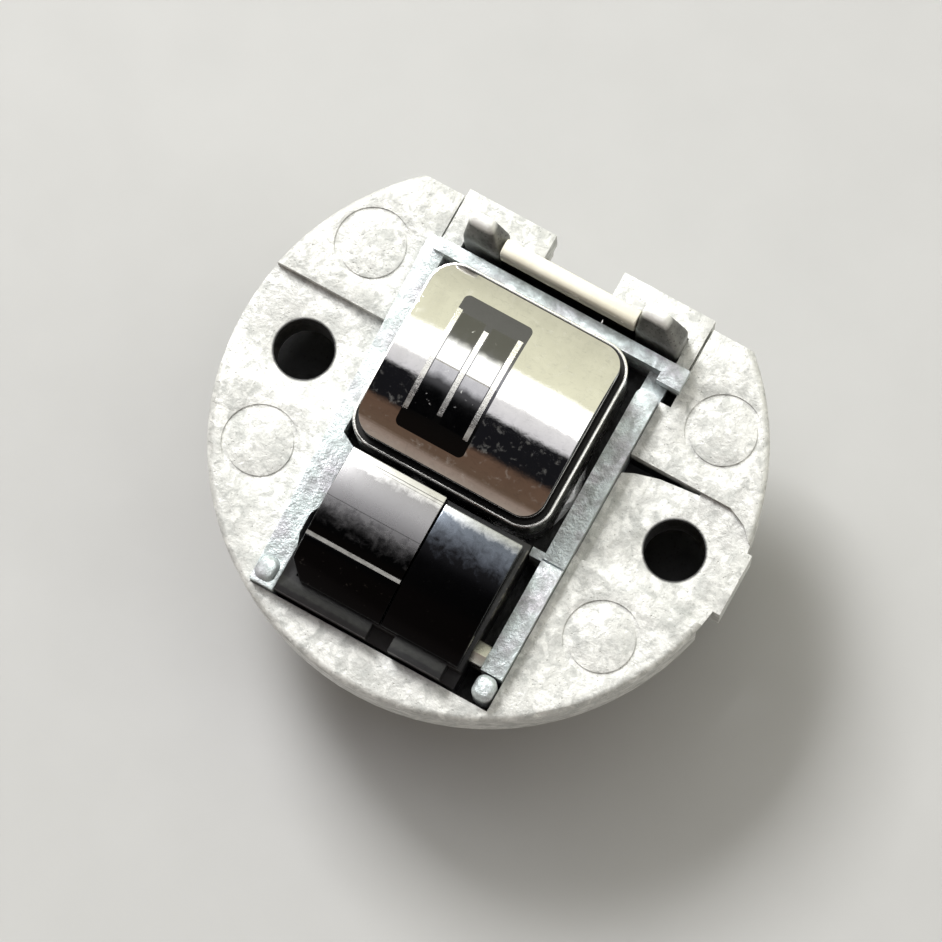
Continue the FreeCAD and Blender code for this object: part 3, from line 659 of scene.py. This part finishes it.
def ring_round_can(name, node, corner, wall, radius, material=None):
    """Sheet metal or bond wall that follows the can's outline."""
    x, y, z = size_of(node)
    ring = block(name, x, y, z, corner, OUTLINE_STEPS)
    inside = block("inside", inset(x, wall), inset(y, wall), (z[0] - 1, z[1] + 1), corner - wall,
                   OUTLINE_STEPS)
    placed(rounded(shape(ring, inside), radius, 2), node, material)


head_can()
ring_round_can("bond_line", "head_bond_line", CAN_CORNER + BOND_WALL, BOND_WALL, 0.01, BOND)
ring_round_can("shield_sleeve", "head_outer_shield", CAN_CORNER + BOND_WALL + SLEEVE_WALL,
               SLEEVE_WALL, 0.025)


# ---------------------------------------------------------------- pieces with rounded edges

# For each node: the radius of its edges, the steps round them, and a finish of its own.
ROUNDED_NODES = {
    "erase_core_leading": (0.03, 3),
    "erase_core_trailing": (0.03, 3),
    "erase_dummy_block": (0.05, 3, DUMMY_HALF),
    "erase_case": (0.05, 2),
    "rotary_holder": (0.07, 3),
    "head_frame": (0.07, 3),
    "frame_rivets": (0.08, 3),
    "tape_guide_bar": (0.04, 3),
    # The guide base gets the black bond finish, standing as painted shade in the dark line under the
    # guide bar.
    "guide_base": (0.03, 2, BOND),
    "left_guide_lug": (0.12, 4),
    "right_guide_lug": (0.12, 4),
    "bearing_bush": (0.06, 2),
    "stop_plate": (0.06, 2),
    "reverse_gear": (0.03, 2),
    "thrust_washer": (0.03, 2),
    "retaining_ring": (0.03, 2),
    "pivot_sleeve": (0.04, 2),
    "erase_head_clip": (0.03, 2),
}
EDGE_ANGLE = 32
LUG_EDGE_ANGLE = 20


def rounded_pieces():
    """Fine copies of the outer nodes, their edges rounded."""
    for node, (radius, steps, *own) in ROUNDED_NODES.items():
        angle = LUG_EDGE_ANGLE if node.endswith("guide_lug") else EDGE_ANGLE
        placed(rounded(fine_copy(node), radius, steps, angle), node, *own)


rounded_pieces()


# ---------------------------------------------------------------- studio

# Colour of the surroundings by how far they lean from overhead towards +Y, in degrees.
SKY = ((-90, (0.24, 0.23, 0.21)), (-52, (0.13, 0.10, 0.085)), (-46, (0.058, 0.038, 0.027)),
       (-28, (0.056, 0.034, 0.024)), (-24.5, (0.004, 0.004, 0.005)), (-6, (0.004, 0.004, 0.005)),
       (-3.5, (0.33, 0.325, 0.345)), (5.5, (0.40, 0.395, 0.41)), (8, (1.0, 1.0, 1.0)),
       (21, (1.0, 1.0, 0.98)), (26, (0.42, 0.415, 0.325)), (90, (0.28, 0.275, 0.22)))
SKY_STRENGTH = 2.05


def studio_world():
    """Surroundings: ivory beyond the head, dark over the camera and warm brown this side of it."""
    world = bpy.data.worlds.new("studio")
    bpy.context.scene.world = world
    world.use_nodes = True
    tree = world.node_tree
    where = tree.nodes.new("ShaderNodeTexCoord")
    split = tree.nodes.new("ShaderNodeSeparateXYZ")
    lean = tree.nodes.new("ShaderNodeMath")
    lean.operation = "ARCTAN2"
    spread = tree.nodes.new("ShaderNodeMapRange")
    spread.inputs["From Min"].default_value = -math.pi / 2
    spread.inputs["From Max"].default_value = math.pi / 2
    ramp = tree.nodes.new("ShaderNodeValToRGB")
    while len(ramp.color_ramp.elements) < len(SKY):
        ramp.color_ramp.elements.new(0.5)
    for element, (degrees, colour) in zip(ramp.color_ramp.elements, SKY):
        element.position = (degrees + 90) / 180
        element.color = (*colour, 1)
    link = tree.links.new
    link(where.outputs["Generated"], split.inputs[0])
    link(split.outputs["Y"], lean.inputs[0])
    link(split.outputs["Z"], lean.inputs[1])
    link(lean.outputs[0], spread.inputs["Value"])
    link(spread.outputs["Result"], ramp.inputs["Fac"])
    link(ramp.outputs["Color"], tree.nodes["Background"].inputs["Color"])
    tree.nodes["Background"].inputs["Strength"].default_value = SKY_STRENGTH


def soft_box(name, lean_x, lean_y, distance, size, watts):
    """Soft light that faces the block and leans from overhead along X and Y by so many degrees."""
    light = bpy.data.lights.new(name, "AREA")
    light.shape = "RECTANGLE"
    light.size, light.size_y = size
    light.energy = watts
    lamp = bpy.data.objects.new(name, light)
    bpy.context.scene.collection.objects.link(lamp)
    toward = Vector((math.tan(math.radians(lean_x)), math.tan(math.radians(lean_y)), 1)).normalized()
    up = Vector((0, 1, 0))
    right = up.cross(toward).normalized()
    lamp.matrix_world = Matrix.Translation(toward * distance) @ Matrix(
        (right, toward.cross(right), toward)).transposed().to_4x4()


def pale_floor():
    """Plain floor that the block stands on."""
    bpy.ops.object.select_all(action="DESELECT")
    bpy.ops.mesh.primitive_plane_add(size=1.2)
    floor = bpy.context.object
    floor.name = "floor"
    f = Finish("pale_floor_finish")
    cloud = f.noise(3.0, 4)
    f.set(Base_Color=f.mix((0.50, 0.50, 0.495), (0.46, 0.46, 0.455), cloud))
    f.set(Roughness=0.6 + 0.1 * cloud)
    floor.data.materials.append(f.material)


def overhead_camera():
    """Camera that looks nearly straight down, from the -Y side, and is rolled a little."""
    lean, azimuth, roll = math.radians(9.7), math.radians(-51.2), math.radians(29.2)
    distance, lens = 119 * MM, 178.2
    aim = Vector((0, -0.885 * MM, 6 * MM))
    back = Vector((math.sin(lean) * math.cos(azimuth), math.sin(lean) * math.sin(azimuth),
                   math.cos(lean)))
    right = Vector((-math.sin(roll), math.cos(roll), 0)).cross(back).normalized()
    camera = bpy.data.objects.new("camera", bpy.data.cameras.new("camera"))
    camera.data.lens = lens
    camera.data.clip_start = 10 * MM
    camera.data.clip_end = 5
    camera.matrix_world = Matrix.Translation(aim + back * distance) @ Matrix(
        (right, back.cross(right), back)).transposed().to_4x4()
    bpy.context.scene.collection.objects.link(camera)
    bpy.context.scene.camera = camera


bpy.context.scene.view_settings.view_transform = "Standard"
studio_world()
soft_box("key_light", -38, 30, 0.30, (0.10, 0.10), 0.95)
pale_floor()
overhead_camera()
